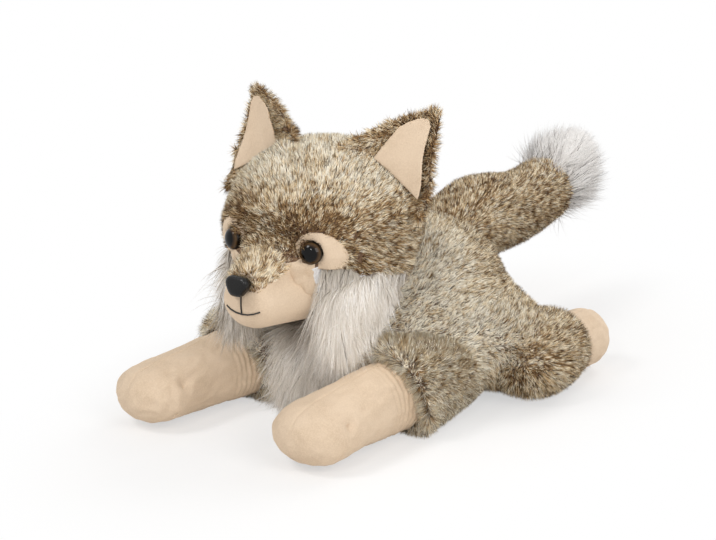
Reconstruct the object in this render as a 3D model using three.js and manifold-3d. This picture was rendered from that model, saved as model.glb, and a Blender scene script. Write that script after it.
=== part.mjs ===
// A plush wolf lying on its belly: fur covers over fibre stuffing, with velvety paws and muzzle,
// a long white ruff, bib and tail tip, and a plastic nose and eyes held by lock washers.
// Millimetres, +Z up. The wolf faces -Y, its left side is +X, and it lies on the plane Z = 0.
import * as THREE from "three";
import { mergeVertices } from "three/addons/utils/BufferGeometryUtils.js";
import Module from "manifold-3d";

const wasm = await Module();
wasm.setup();

const at = (x, y, z) => new THREE.Vector3(x, y, z);
const radians = THREE.MathUtils.degToRad;

// Fabrics and clearances
const PILE = 7; // height of the mottled fur above its backing
const BACKING = 2.5; // knitted backing under the fur
const VELVET = 3; // short-pile fabric of the paws, muzzle, ear linings and eye patches
const SEAM_GAP = 0.4; // between two pieces that lie against each other
const CREASE = 4; // room in a larger piece for a smaller one to turn in it
const DEEP_CREASE = 6.5; // the same in the stuffing under it
const ROOT_ROOM = 1; // round the ball that ends a leg or the tail where it is sewn on
const REST_CUT = 0.5; // how much of a round underside is pressed flat on the table

// Body
const CHEST_Y = -88;
const CHEST_HALF_WIDTH = 58;
const CHEST_HEIGHT = 106;
const CHEST_DOME = 26;
const SHOULDERS_Y = -46;
const SHOULDERS_HALF_WIDTH = 77;
const SHOULDERS_HEIGHT = 128;
const BACK_Y = -4;
const BACK_HALF_WIDTH = 87;
const BACK_HEIGHT = 146;
const RUMP_Y = 50;
const RUMP_HALF_WIDTH = 76;
const RUMP_HEIGHT = 136;
const RUMP_DOME = 34;
const BIB_HALF_WIDTH = 48;
const BIB_MIDDLE = 45;
const BIB_HALF_HEIGHT = 36;
const BIB_THICKNESS = 22; // its long fur stands well off the chest

// Neck: a firm ball of stuffing where the head is sewn to the body
const NECK = at(0, -70, 108);
const NECK_LEAN = 30; // degrees forward
const NECK_RADIUS = 36;
const NECK_REACH = 76; // how far the crease runs out from the neck
const NOD = 8; // degrees up or down

// Head
const HEAD_REAR_Y = -66;
const HEAD_REAR_HALF_WIDTH = 66;
const HEAD_REAR_HALF_HEIGHT = 56;
const HEAD_WIDE_Y = -112;
const HEAD_LEVEL = 163;
const HEAD_HALF_WIDTH = 88;
const HEAD_HALF_HEIGHT = 65;
const FACE_Y = -168;
const FACE_LEVEL = 152;
const FACE_HALF_WIDTH = 63;
const FACE_HALF_HEIGHT = 44;
const FACE_DOME = 20;
const SKULL_DOME = 28;

// Muzzle, nose and mouth
const MUZZLE_ROOT = at(0, -150, 119);
const MUZZLE_ROOT_HALF_WIDTH = 42;
const MUZZLE_ROOT_HALF_HEIGHT = 30;
const MUZZLE_TIP = at(0, -209, 116);
const MUZZLE_TIP_HALF_WIDTH = 25;
const MUZZLE_TIP_HALF_HEIGHT = 21;
const MUZZLE_DOME = 10;
const BRIDGE_ROOT = at(0, -158, 150);
const BRIDGE_ROOT_HALF_WIDTH = 36;
const BRIDGE_ROOT_HALF_HEIGHT = 21;
const BRIDGE_TIP = at(0, -214, 132);
const BRIDGE_TIP_HALF_WIDTH = 17;
const BRIDGE_TIP_HALF_HEIGHT = 11;
const BRIDGE_DOME = 7;
const BRIDGE_SINK = 6; // how far the stuffing under it lies lower
const NOSE = at(0, -222, 132);
const NOSE_TILT = 15; // degrees that the nose looks up
const NOSE_HALF_WIDTH = 10.5;
const NOSE_HALF_HEIGHT = 8;
const NOSE_DEPTH = 10;
const MOUTH_LEVEL = 109;
const MOUTH_HALF_WIDTH = 16;
const MOUTH_RISE = 4;
const THREAD_RADIUS = 0.9;

// Eyes, and the shanks and lock washers that hold them and the nose
const EYE = at(37, -180, 154); // the left eye
const EYE_AIM = at(0.33, -0.93, 0.1).normalize();
const EYE_RADIUS = 9;
const EYE_DOME = 6.5;
const EYE_RIM = 1.5;
const PATCH_HALF_WIDTH = 21;
const PATCH_HALF_HEIGHT = 16;
const PATCH_TILT = -20; // degrees that its outer end drops
const PATCH_SHIFT = 7; // how far it reaches outwards past the eye
const PATCH_SINK = 4; // below the tips of the fur
const SHANK_RADIUS = 2.4;
const SHANK_END = 2; // that stands out of the washer
const EYE_SHANK = 14;
const NOSE_SHANK = 21;
const WASHER_RADIUS = 7.5;
const WASHER_THICKNESS = 2;

// Ears
const EAR_BASE = at(56, -104, 204); // the left ear
const EAR_TIP = at(90, -84, 256);
const EAR_TURN = 4; // degrees that an ear faces outwards
const EAR_HALF_WIDTH = 33;
const EAR_CUP = 15; // how far its edges come forwards
const EAR_THICKNESS = 11;
const EAR_ROOT = 9; // how deep it is set into the head
const EAR_SLIT = 2.6; // room in the head round its root
const LINING_SHARE = 0.82; // of the ear's width
const LINING_FROM = 0.02; // of its height
const LINING_TO = 0.9;
const LINING_THICKNESS = 4;
const LINING_SINK = 1; // below the rim of the fur
const EAR_FOLD = 15; // degrees forwards or back

// Cheek ruff, on the left
const RUFF_FRONT = at(49, -166, 106);
const RUFF_MIDDLE = at(67, -138, 113);
const RUFF_REAR = at(76, -108, 122);
const RUFF_THICKNESS = 15;
const RUFF_HALF_HEIGHT = 28;
const RUFF_END_HALF_HEIGHT = 23;
const RUFF_DOME = 8;

// Front legs
const SHOULDERS = { left: at(80, -52, 0), right: at(-62, -56, 0) }; // the body lies a little to its left
const SHOULDER_RADIUS = 33;
const CUFF_RADIUS = 36;
const SLEEVE_LENGTH = 64;
const PAW_LENGTH = 122;
const PAW_HALF_WIDTH = 31;
const PAW_HALF_HEIGHT = 29;
const TOE_HALF_WIDTH = 34;
const TOE_HALF_HEIGHT = 23;
const TOE_DOME = 28;
const FRONT_SPLAY = { left: -6, right: 11 }; // degrees outwards as it lies
const FRONT_SWING = [5, 16]; // degrees inwards and outwards from there

// Hind legs
const HIPS = { left: at(114, 16, 0), right: at(-106, 16, 0) };
const HAUNCH_RADIUS = 44;
const HOCK_RADIUS = 39;
const HAUNCH_LENGTH = 42;
const FOOT_LENGTH = 68;
const FOOT_RADIUS = 29;
const FOOT_DOME = 26;
const HIND_SPLAY = 3;
const HIND_SWING = [5, 15];

// Tail
const TAIL_ROOT = at(0, 90, 103);
const TAIL_RADIUS = 36;
const TAIL_LENGTH = 150;
const TAIL_END_RADIUS = 32;
const TAIL_RISE = 14;
const TIP_LENGTH = 70;
const TIP_RADIUS = 27;
const TIP_END_RADIUS = 13;
const TIP_RISE = 28;
const WAD_RADIUS = 20;
const TAIL_SWING = 18;
const TAIL_LIFT = 14;

const COVER = PILE + BACKING;

// Colours
const coat = (color, roughness = 0.95) => new THREE.MeshStandardMaterial({ color, roughness, metalness: 0 });
const fur = () => coat(0x9c8468);
const velvet = () => coat(0xdcbd98);
const whiteFur = () => coat(0xe9e6e2);
const fibre = () => coat(0xf4f4f2);
const thread = () => coat(0x1a1614);
const noseBlack = () => coat(0x141210, 0.3);
const eyeBrown = () => coat(0x2a1a10, 0.15);
const washerWhite = () => coat(0xf0efe8, 0.5);

// Solids and pieces

function solid(geometry, matrix = new THREE.Matrix4()) {
  const bare = new THREE.BufferGeometry();
  bare.setAttribute("position", geometry.getAttribute("position").clone());
  bare.setIndex(geometry.index);
  bare.applyMatrix4(matrix);
  const merged = mergeVertices(bare, 1e-4);
  const vertProperties = new Float32Array(merged.attributes.position.array);
  const triVerts = new Uint32Array(merged.index.array);
  return new wasm.Manifold(new wasm.Mesh({ numProp: 3, vertProperties, triVerts }));
}

function geometryOf(manifold) {
  const { vertProperties, triVerts } = manifold.getMesh();
  const geometry = new THREE.BufferGeometry();
  geometry.setAttribute("position", new THREE.BufferAttribute(new Float32Array(vertProperties), 3));
  geometry.setIndex(new THREE.BufferAttribute(new Uint32Array(triVerts), 1));
  return geometry;
}

const cut = (body, ...tools) => tools.reduce((left, tool) => left.subtract(tool), body);
const join = (body, ...others) => others.reduce((all, other) => all.add(other), body);

// Adds a piece whose solid is drawn in the group's own frame
function piece(group, name, manifold, material) {
  const mesh = new THREE.Mesh(geometryOf(manifold), material);
  mesh.name = name;
  group.add(mesh);
}

// A group whose origin is the seam that its pieces turn about
function limb(parent, position, rotation = new THREE.Euler()) {
  const group = new THREE.Group();
  group.position.copy(position);
  group.rotation.copy(rotation);
  parent.add(group);
  return group;
}

// Where a group's frame stands in its parent, turned by some degrees about one of its own axes
function turned(group, axis = at(0, 0, 1), degrees = 0) {
  group.updateMatrix();
  const turn = new THREE.Matrix4().makeRotationAxis(axis, radians(degrees));
  return group.matrix.clone().multiply(turn);
}

// A closed skin over rings of equally many points, with a point at each end
function skin(start, rings, end) {
  const around = rings[0].length;
  const points = [start, ...rings.flat(), end];
  const last = points.length - 1;
  const faces = [];
  for (let j = 0; j < around; j++) {
    const next = (j + 1) % around;
    faces.push(0, 1 + next, 1 + j);
    for (let i = 0; i < rings.length - 1; i++) {
      const a = 1 + i * around + j;
      const b = 1 + i * around + next;
      faces.push(a, b, a + around, b, b + around, a + around);
    }
    const ring = 1 + (rings.length - 1) * around;
    faces.push(last, ring + j, ring + next);
  }
  const geometry = new THREE.BufferGeometry().setFromPoints(points);
  geometry.setIndex(faces);
  return geometry;
}

// A stuffed form: elliptical rings along a spine, with a dome at each end.
// A station is a point of the spine with the half width w and half height h there.
// The rings of a form that lies on the table stand upright, so that all of them reach down to it.
function stuffed(stations, domes, grow = 0, { around = 18, along = 6, domeRings = 3 } = {}) {
  const spine = new THREE.CatmullRomCurve3(stations.map((s) => s.at), false, "catmullrom");
  const girth = new THREE.CatmullRomCurve3(stations.map((s) => at(s.w, s.h, 0)), false, "catmullrom");
  const level = at(1, 1, stations[0].onTable ? 0 : 1);
  const heading = (t) => spine.getTangent(t).multiply(level).normalize();
  const middle = (t, shift) => spine.getPoint(t).addScaledVector(heading(t), shift);
  const ring = (t, shift, share) => {
    const tangent = heading(t);
    const side = new THREE.Vector3().crossVectors(at(0, 0, 1), tangent).normalize();
    const lift = new THREE.Vector3().crossVectors(tangent, side);
    const size = girth.getPoint(t).addScalar(grow).multiplyScalar(share);
    return Array.from({ length: around }, (_, j) => {
      const angle = (2 * Math.PI * j) / around;
      const across = side.clone().multiplyScalar(size.x * Math.cos(angle));
      return middle(t, shift).add(across).addScaledVector(lift, size.y * Math.sin(angle));
    });
  };
  const rings = [];
  for (let k = 1; k < domeRings; k++) {
    const angle = ((Math.PI / 2) * k) / domeRings;
    rings.push(ring(0, -(domes[0] + grow) * Math.cos(angle), Math.sin(angle)));
  }
  for (let k = 0; k <= along; k++) rings.push(ring(k / along, 0, 1));
  for (let k = domeRings - 1; k > 0; k--) {
    const angle = ((Math.PI / 2) * k) / domeRings;
    rings.push(ring(1, (domes[1] + grow) * Math.cos(angle), Math.sin(angle)));
  }
  return skin(middle(0, -domes[0] - grow), rings, middle(1, domes[1] + grow));
}

const FINE = { around: 20, along: 5 };
const SMALL = { around: 14, along: 3 };
const COARSE = { around: 8, along: 3, domeRings: 2 };
const ROOM = { around: 10, along: 1, domeRings: 2 };
const PLAIN = { around: 8, along: 1, domeRings: 2 };

const station = (point, w, h = w) => ({ at: point, w, h });
// A station whose underside is pressed on the table
const lying = (x, y, w, h = w) => ({ ...station(at(x, y, h - REST_CUT), w, h), onTable: true });
const ball = (centre, radius, around = 16) =>
  new THREE.SphereGeometry(radius, around, around / 2).translate(centre.x, centre.y, centre.z);
// The close dish that a ball-shaped root turns in
const dish = (centre, radius, frame) => solid(ball(centre, radius + ROOT_ROOM, 24), frame);
const mirrored = (v, sign) => at(v.x * sign, v.y, v.z);
const table = solid(new THREE.BoxGeometry(1200, 1200, 200).translate(0, 0, -100));

const wolf = new THREE.Group();
const SIDES = [
  { side: "left", sign: 1 },
  { side: "right", sign: -1 },
];

// Legs: a fur sleeve over a velvet paw, stuffed in one and sewn on at a round root that opens to the body

const OPENING_SHARE = 0.5; // of the root's radius
const PLUG_SHARE = 0.66; // how far the stuffing fills the opening
const THROAT_SHARE = 0.62; // of the paw's half width, where its stuffing joins the sleeve's
function leg(sleeve, sleeveDomes, paw, pawDomes, toBody) {
  const root = sleeve[0];
  const opening = (length, grow) => {
    const bore = root.w * OPENING_SHARE;
    const end = root.at.clone().addScaledVector(toBody, length);
    return solid(stuffed([station(root.at, bore), station(end, bore)], [1, 1], grow, PLAIN));
  };
  const sleeveInside = (length, grow) => join(
    solid(stuffed(sleeve, [sleeveDomes[0], COVER + 3], grow - COVER, COARSE)),
    opening(length, grow),
  );
  const narrow = (point) => station(point, paw[0].w * THROAT_SHARE);
  const throat = [narrow(paw[0].at.clone().lerp(root.at, 0.4)), narrow(paw[0].at), ...paw.slice(1)];
  const pawInside = (grow) => solid(stuffed(throat, [0, pawDomes[1]], grow - VELVET, COARSE));
  const pawForm = (grow) => solid(stuffed(paw, pawDomes, grow, { around: 16, along: 4 }));
  const sleeveForm = solid(stuffed(sleeve, sleeveDomes, 0, { around: 16, along: 1 }));
  const pawRoom = pawForm(SEAM_GAP);
  return {
    sleeve: cut(sleeveForm, sleeveInside(root.w + 9, 0), pawRoom, table),
    paw: cut(pawForm(0), pawInside(0), table),
    stuffing: join(cut(sleeveInside(root.w * PLUG_SHARE, -SEAM_GAP), pawRoom), pawInside(-SEAM_GAP)),
    rootRoom: (frame) => dish(root.at, root.w, frame),
    room: (frame) => solid(stuffed(sleeve, [1 - CREASE, sleeveDomes[1]], CREASE, ROOM), frame),
    wideRoom: (frame) => solid(stuffed(sleeve, sleeveDomes, DEEP_CREASE, PLAIN), frame),
    pawRoom: (frame) => solid(stuffed(paw, pawDomes, CREASE, PLAIN), frame),
  };
}

const frontLeg = (sign) => leg(
  [lying(0, 0, SHOULDER_RADIUS), lying(0, -SLEEVE_LENGTH, CUFF_RADIUS)],
  [SHOULDER_RADIUS, 8],
  [
    lying(0, 6 - SLEEVE_LENGTH, PAW_HALF_WIDTH - 1, PAW_HALF_HEIGHT),
    lying(0, -SLEEVE_LENGTH - (PAW_LENGTH - TOE_DOME) * 0.5, PAW_HALF_WIDTH, PAW_HALF_HEIGHT - 1),
    lying(0, -SLEEVE_LENGTH - PAW_LENGTH + TOE_DOME, TOE_HALF_WIDTH, TOE_HALF_HEIGHT),
  ],
  [4, TOE_DOME],
  at(-sign, 0.7, 0.3).normalize(),
);
const hindLeg = (sign) => leg(
  [lying(0, 0, HAUNCH_RADIUS), lying(0, HAUNCH_LENGTH, HOCK_RADIUS)],
  [HAUNCH_RADIUS, 10],
  [
    lying(0, HAUNCH_LENGTH, FOOT_RADIUS - 1),
    lying(0, HAUNCH_LENGTH + FOOT_LENGTH - FOOT_DOME, FOOT_RADIUS),
  ],
  [4, FOOT_DOME],
  at(-sign, 0, 0.3).normalize(),
);

const legRooms = [];
const wideRooms = [];
const pawRooms = [];
function sewLeg(name, foot, side, made, root, splay, outwardAxis, [inwards, outwards]) {
  const group = limb(wolf, root, new THREE.Euler(0, 0, radians(splay * outwardAxis.z)));
  piece(group, `${name}_sleeve_${side}`, made.sleeve, fur());
  piece(group, `${foot}_${side}`, made.paw, velvet());
  piece(group, `${name}_stuffing_${side}`, made.stuffing, fibre());
  legRooms.push(made.rootRoom(turned(group)));
  for (const turn of [-inwards, outwards]) {
    const frame = turned(group, outwardAxis, turn);
    legRooms.push(made.room(frame));
    wideRooms.push(made.wideRoom(frame));
    pawRooms.push(made.pawRoom(frame));
  }
}
for (const { side, sign } of SIDES) {
  const front = frontLeg(sign);
  const hind = hindLeg(sign);
  const splay = FRONT_SPLAY[side];
  sewLeg("front_leg", "front_paw", side, front, SHOULDERS[side], splay, at(0, 0, sign), FRONT_SWING);
  sewLeg("hind_leg", "hind_foot", side, hind, HIPS[side], HIND_SPLAY, at(0, 0, -sign), HIND_SWING);
}

// Tail: a fur tube with a long white tip, sewn on over a firm wad

const tail = limb(wolf, TAIL_ROOT);
const tailStations = [
  station(at(0, 0, 0), TAIL_RADIUS),
  station(at(0, TAIL_LENGTH * 0.5, TAIL_RISE * 0.3), TAIL_RADIUS - 1),
  station(at(0, TAIL_LENGTH, TAIL_RISE), TAIL_END_RADIUS),
];
const tailDomes = [TAIL_RADIUS, 8];
const tipStations = [
  station(at(0, TAIL_LENGTH, TAIL_RISE), TIP_RADIUS),
  station(at(0, TAIL_LENGTH + TIP_LENGTH * 0.45, TAIL_RISE + TIP_RISE * 0.35), TIP_RADIUS - 2),
  station(at(0, TAIL_LENGTH + TIP_LENGTH * 0.85, TAIL_RISE + TIP_RISE), TIP_END_RADIUS),
];
const tailForm = solid(stuffed(tailStations, tailDomes, 0, { around: 14, along: 4 }));
const tailMouth = station(at(0, -TAIL_RADIUS, 0), TAIL_RADIUS);
const tailInside = (grow) =>
  solid(stuffed([tailMouth, ...tailStations], [COVER + 1, COVER + 4], grow - COVER, COARSE));
const tipForm = (grow) => solid(stuffed(tipStations, [4, TIP_LENGTH * 0.15], grow, { around: 12, along: 4 }));
const wadRoom = dish(at(0, 0, 0), WAD_RADIUS);
const aheadOfTail = solid(new THREE.BoxGeometry(200, 200, 200).translate(0, -100, 0));
const tailCore = cut(tailInside(-SEAM_GAP).intersect(tailForm), aheadOfTail);
piece(tail, "tail_cover", cut(tailForm, tailInside(0), tipForm(SEAM_GAP)), fur());
piece(tail, "tail_stuffing", cut(tailCore, wadRoom, tipForm(SEAM_GAP)), fibre());
piece(tail, "tail_tip", tipForm(0), whiteFur());
piece(tail, "tail_root_wad", solid(ball(at(0, 0, 0), WAD_RADIUS, 12)), fibre());
const tailFrames = [-TAIL_SWING, TAIL_SWING].flatMap((swing) => [-TAIL_LIFT, TAIL_LIFT].map((lift) =>
  turned(tail, at(0, 0, 1), swing).multiply(new THREE.Matrix4().makeRotationX(radians(lift)))));
const tailTube = (frame) => solid(stuffed(tailStations, [1 - CREASE, tailDomes[1]], CREASE, ROOM), frame);
const tailRooms = [...tailFrames.map(tailTube), dish(at(0, 0, 0), TAIL_RADIUS, turned(tail))];
const tailHollow = (frame) => solid(stuffed(tailStations, tailDomes, DEEP_CREASE, PLAIN), frame);
const tailHollows = tailFrames.map(tailHollow);

// Body, with the crease of the neck drawn round the neck's own axis

const neck = limb(wolf, NECK, new THREE.Euler(radians(NECK_LEAN), 0, 0));
const aboutNeck = (profile) => {
  const outline = profile.map(([radius, along]) => new THREE.Vector2(radius, along));
  return solid(new THREE.LatheGeometry(outline, 24).rotateX(Math.PI / 2), turned(neck));
};
const REACH = 300;
const NOD_RISE = Math.tan(radians(NOD + 2));
const belowHead = aboutNeck([[0, -REACH], [REACH, -REACH], [REACH, REACH * NOD_RISE], [0, 0]]);
const aboveBody = aboutNeck([[0, 0], [NECK_REACH, 0], [NECK_REACH, REACH], [0, REACH]]);
const aboveBib = aboutNeck([[0, 0], [REACH, 0], [REACH, REACH], [0, REACH]]);
const neckRoom = dish(at(0, 0, 0), NECK_RADIUS, turned(neck));
piece(neck, "neck_stuffing", solid(ball(at(0, 0, 0), NECK_RADIUS)), fibre());

const bodyStations = [
  lying(0, CHEST_Y, CHEST_HALF_WIDTH, CHEST_HEIGHT / 2),
  lying(0, SHOULDERS_Y, SHOULDERS_HALF_WIDTH, SHOULDERS_HEIGHT / 2),
  lying(0, BACK_Y, BACK_HALF_WIDTH, BACK_HEIGHT / 2),
  lying(0, RUMP_Y, RUMP_HALF_WIDTH, RUMP_HEIGHT / 2),
];
const bodyForm = (grow, size) => solid(stuffed(bodyStations, [CHEST_DOME, RUMP_DOME], grow, size));
const bodyRooms = [neckRoom, aboveBody, ...legRooms, ...tailRooms];
const bodyHollows = [neckRoom, aboveBody, ...wideRooms, ...tailHollows];
piece(wolf, "body_cover", cut(bodyForm(0, FINE), bodyForm(-COVER, COARSE), table, ...bodyRooms), fur());
piece(wolf, "body_stuffing", cut(bodyForm(-COVER - SEAM_GAP, COARSE), ...bodyHollows), fibre());

const bibOutline = new THREE.Shape();
bibOutline.absellipse(0, BIB_MIDDLE, BIB_HALF_WIDTH, BIB_HALF_HEIGHT, 0, 2 * Math.PI);
const bibPrism = new THREE.ExtrudeGeometry(bibOutline, { depth: 80, bevelEnabled: false, curveSegments: 7 });
const bibRegion = solid(bibPrism.rotateX(Math.PI / 2).translate(0, CHEST_Y + 10, 0));
const bibForm = bodyForm(BIB_THICKNESS, COARSE).intersect(bibRegion);
const bibCuts = [bodyForm(SEAM_GAP, FINE), aboveBib, table, ...legRooms, ...pawRooms];
piece(wolf, "chest_bib", cut(bibForm, ...bibCuts), whiteFur());

// Head, its frame the wolf's own

const headStations = [
  station(at(0, HEAD_REAR_Y, HEAD_LEVEL), HEAD_REAR_HALF_WIDTH, HEAD_REAR_HALF_HEIGHT),
  station(at(0, HEAD_WIDE_Y, HEAD_LEVEL), HEAD_HALF_WIDTH, HEAD_HALF_HEIGHT),
  station(at(0, FACE_Y, FACE_LEVEL), FACE_HALF_WIDTH, FACE_HALF_HEIGHT),
];
const headForm = (grow, size = FINE) => solid(stuffed(headStations, [SKULL_DOME, FACE_DOME], grow, size));
const headRoom = headForm(SEAM_GAP);

// Muzzle and the fur strip along its top, over one stuffing

const muzzleStations = [
  station(MUZZLE_ROOT, MUZZLE_ROOT_HALF_WIDTH, MUZZLE_ROOT_HALF_HEIGHT),
  station(MUZZLE_TIP, MUZZLE_TIP_HALF_WIDTH, MUZZLE_TIP_HALF_HEIGHT),
];
const bridgeStations = [
  station(BRIDGE_ROOT, BRIDGE_ROOT_HALF_WIDTH, BRIDGE_ROOT_HALF_HEIGHT),
  station(BRIDGE_TIP, BRIDGE_TIP_HALF_WIDTH, BRIDGE_TIP_HALF_HEIGHT),
];
const muzzleForm = (grow, size) => solid(stuffed(muzzleStations, [MUZZLE_DOME, MUZZLE_DOME], grow, size));
const bridgeForm = (grow, size) => solid(stuffed(bridgeStations, [BRIDGE_DOME, BRIDGE_DOME], grow, size));
const lower = at(0, 0, -BRIDGE_SINK);
const sunk = bridgeStations.map(({ at: point, w, h }) => station(point.clone().add(lower), w, h));
const snoutInside = (grow) => join(
  muzzleForm(grow - VELVET, COARSE),
  solid(stuffed(sunk, [BRIDGE_DOME, BRIDGE_DOME], grow + BRIDGE_SINK - COVER, COARSE)),
);

// A shank along -Z from a face at Z = 0, and the lock washer pressed onto it
const shank = (length, grow) =>
  new THREE.CylinderGeometry(SHANK_RADIUS + grow, SHANK_RADIUS + grow, length + grow, 8)
    .rotateX(Math.PI / 2).translate(0, 0, -(length + grow) / 2);
const washer = (length, grow) => {
  const back = SHANK_END - length - grow;
  const front = SHANK_END - length + WASHER_THICKNESS + grow;
  const bore = SHANK_RADIUS + SEAM_GAP / 2 - grow;
  const rim = WASHER_RADIUS + grow;
  const profile = [[bore, back], [rim, back], [rim, front], [bore, front], [bore, back]];
  return new THREE.LatheGeometry(profile.map(([r, z]) => new THREE.Vector2(r, z)), 12).rotateX(Math.PI / 2);
};

// A frame at a point of the face whose Z axis looks along a direction
function facing(point, aim) {
  const group = limb(wolf, point);
  group.quaternion.setFromRotationMatrix(new THREE.Matrix4().lookAt(aim, at(0, 0, 0), at(0, 0, 1)));
  return group;
}

const noseFrame = facing(NOSE, at(0, -Math.cos(radians(NOSE_TILT)), Math.sin(radians(NOSE_TILT))));
const noseOutline = (grow) => {
  const w = NOSE_HALF_WIDTH + grow - 3;
  const h = NOSE_HALF_HEIGHT + grow - 3;
  const outline = new THREE.Shape();
  outline.moveTo(-w * 0.35, -h);
  outline.lineTo(w * 0.35, -h);
  outline.quadraticCurveTo(w, 0, w, h * 0.6);
  outline.quadraticCurveTo(w * 0.9, h, w * 0.5, h);
  outline.lineTo(-w * 0.5, h);
  outline.quadraticCurveTo(-w * 0.9, h, -w, h * 0.6);
  outline.quadraticCurveTo(-w, 0, -w * 0.35, -h);
  return outline;
};
const noseBulb = (grow) => new THREE.ExtrudeGeometry(noseOutline(grow), {
  depth: NOSE_DEPTH - 6,
  bevelThickness: 3 + grow,
  bevelSize: 3,
  bevelSegments: 2,
  curveSegments: 4,
}).translate(0, 0, -(NOSE_DEPTH - 6) / 2);
const noseForm = (grow, frame) => join(solid(noseBulb(grow), frame), solid(shank(NOSE_SHANK, grow), frame));
const noseRoom = noseForm(SEAM_GAP, turned(noseFrame));
const noseWasherRoom = solid(washer(NOSE_SHANK, SEAM_GAP), turned(noseFrame));
piece(noseFrame, "nose", noseForm(0), noseBlack());
piece(noseFrame, "nose_washer", solid(washer(NOSE_SHANK, 0)), washerWhite());

// Mouth: a thread sewn down from the nose and along a smile, half sunk in the velvet
const muzzleSkin = new THREE.Mesh(geometryOf(muzzleForm(0, SMALL)), new THREE.MeshBasicMaterial());
const onMuzzle = (x, z) => {
  const ray = new THREE.Raycaster(at(x, -400, z), at(0, 1, 0));
  return ray.intersectObject(muzzleSkin)[0].point;
};
const smile = Array.from({ length: 9 }, (_, i) => {
  const across = i / 4 - 1;
  return onMuzzle(across * MOUTH_HALF_WIDTH, MOUTH_LEVEL + MOUTH_RISE * across * across);
});
const MOUTH_TOP = NOSE.z - 9;
const drop = [0, 1, 2, 3].map((i) => onMuzzle(0, MOUTH_LEVEL + (i * (MOUTH_TOP - MOUTH_LEVEL)) / 3));
const stitch = (points, grow) => {
  const section = new THREE.Shape().absarc(0, 0, THREAD_RADIUS + grow, 0, 2 * Math.PI);
  const path = new THREE.CatmullRomCurve3(points);
  return solid(new THREE.ExtrudeGeometry(section, { steps: 6, extrudePath: path, curveSegments: 3 }));
};
const mouth = (grow) => join(stitch(smile, grow), stitch(drop, grow));

const snoutRooms = [headRoom, noseRoom];
piece(wolf, "mouth_stitch", cut(mouth(0), noseRoom), thread());
const muzzleRooms = [bridgeForm(SEAM_GAP, SMALL), snoutInside(0), mouth(SEAM_GAP / 2), ...snoutRooms];
piece(wolf, "muzzle_cover", cut(muzzleForm(0, SMALL), ...muzzleRooms), velvet());
piece(wolf, "snout_gusset", cut(bridgeForm(0, SMALL), snoutInside(0), ...snoutRooms), fur());
piece(wolf, "muzzle_stuffing", cut(snoutInside(-SEAM_GAP), noseWasherRoom, ...snoutRooms), fibre());

// Eyes on velvet patches let into the fur

const eyeProfile = (grow) => {
  const dome = Array.from({ length: 5 }, (_, i) => {
    const angle = (Math.PI / 2) * (1 - i / 4);
    return [(EYE_RADIUS + grow) * Math.cos(angle), (EYE_DOME + grow) * Math.sin(angle)];
  });
  const back = -EYE_RIM - grow;
  return [...dome, [EYE_RADIUS + grow, back], [0, back]].reverse();
};
const eyeForm = (grow, frame) => {
  const profile = eyeProfile(grow).map(([r, z]) => new THREE.Vector2(Math.max(r, 0), z));
  profile[profile.length - 1].x = 0;
  const dome = new THREE.LatheGeometry(profile, 14).rotateX(Math.PI / 2);
  return join(solid(dome, frame), solid(shank(EYE_SHANK, grow), frame));
};
const patchPrism = (sign, grow) => {
  const w = PATCH_HALF_WIDTH + grow;
  const h = PATCH_HALF_HEIGHT + grow;
  const tilt = radians(sign * PATCH_TILT);
  const outline = new THREE.Shape().absellipse(sign * PATCH_SHIFT, 0, w, h, 0, 2 * Math.PI, false, tilt);
  const prism = new THREE.ExtrudeGeometry(outline, { depth: 50, bevelEnabled: false, curveSegments: 7 });
  return prism.translate(0, 0, -25);
};
const headCuts = [];
const stuffingCuts = [];
for (const { side, sign } of SIDES) {
  const eye = facing(mirrored(EYE, sign), mirrored(EYE_AIM, sign));
  const place = turned(eye);
  const eyeRoom = eyeForm(SEAM_GAP, place);
  const patchOutside = headForm(-PATCH_SINK).intersect(solid(patchPrism(sign, 0), place));
  const patch = cut(patchOutside, headForm(-PATCH_SINK - VELVET), eyeRoom);
  const pocket = cut(solid(patchPrism(sign, SEAM_GAP), place), headForm(-PATCH_SINK - VELVET - SEAM_GAP));
  headCuts.push(pocket, eyeRoom);
  stuffingCuts.push(eyeRoom, solid(washer(EYE_SHANK, SEAM_GAP), place));
  piece(wolf, `eye_patch_${side}`, patch, velvet());
  piece(eye, `eye_${side}`, eyeForm(0), eyeBrown());
  piece(eye, `eye_washer_${side}`, solid(washer(EYE_SHANK, 0)), washerWhite());
}

// Ears: a cupped leaf of fur with a velvet lining, set into the head

const EAR_HEIGHT = EAR_TIP.distanceTo(EAR_BASE);
// A leaf cupped forwards, between two shares of the ear's height
function earLeaf(share, front, halfThickness, from, to, around = 12, steps = 6) {
  const section = (v) => {
    const half = EAR_HALF_WIDTH * share * Math.pow(Math.max(1 - v / to, 0), 0.5) * (1 - 0.1 * v) + 0.01;
    return Array.from({ length: around }, (_, j) => {
      const angle = (2 * Math.PI * j) / around;
      const across = half * Math.cos(angle);
      const cup = EAR_CUP * (across / EAR_HALF_WIDTH) ** 2;
      const thin = Math.pow(Math.max(1 - v / to, 0), 0.35);
      return at(across, -cup - front + halfThickness * thin * Math.sin(angle), v * EAR_HEIGHT);
    });
  };
  const rings = Array.from({ length: steps }, (_, i) => section(from + ((to - from) * i) / (steps - 0.6)));
  return skin(at(0, -front, from * EAR_HEIGHT), rings, at(0, -front, to * EAR_HEIGHT));
}
const earOutside = (grow, ...size) => {
  const more = grow / EAR_HEIGHT;
  const share = 1 + grow / EAR_HALF_WIDTH;
  const root = -EAR_ROOT / EAR_HEIGHT;
  return earLeaf(share, 0, EAR_THICKNESS / 2 + grow, root - more, 1 + more, ...size);
};
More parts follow.
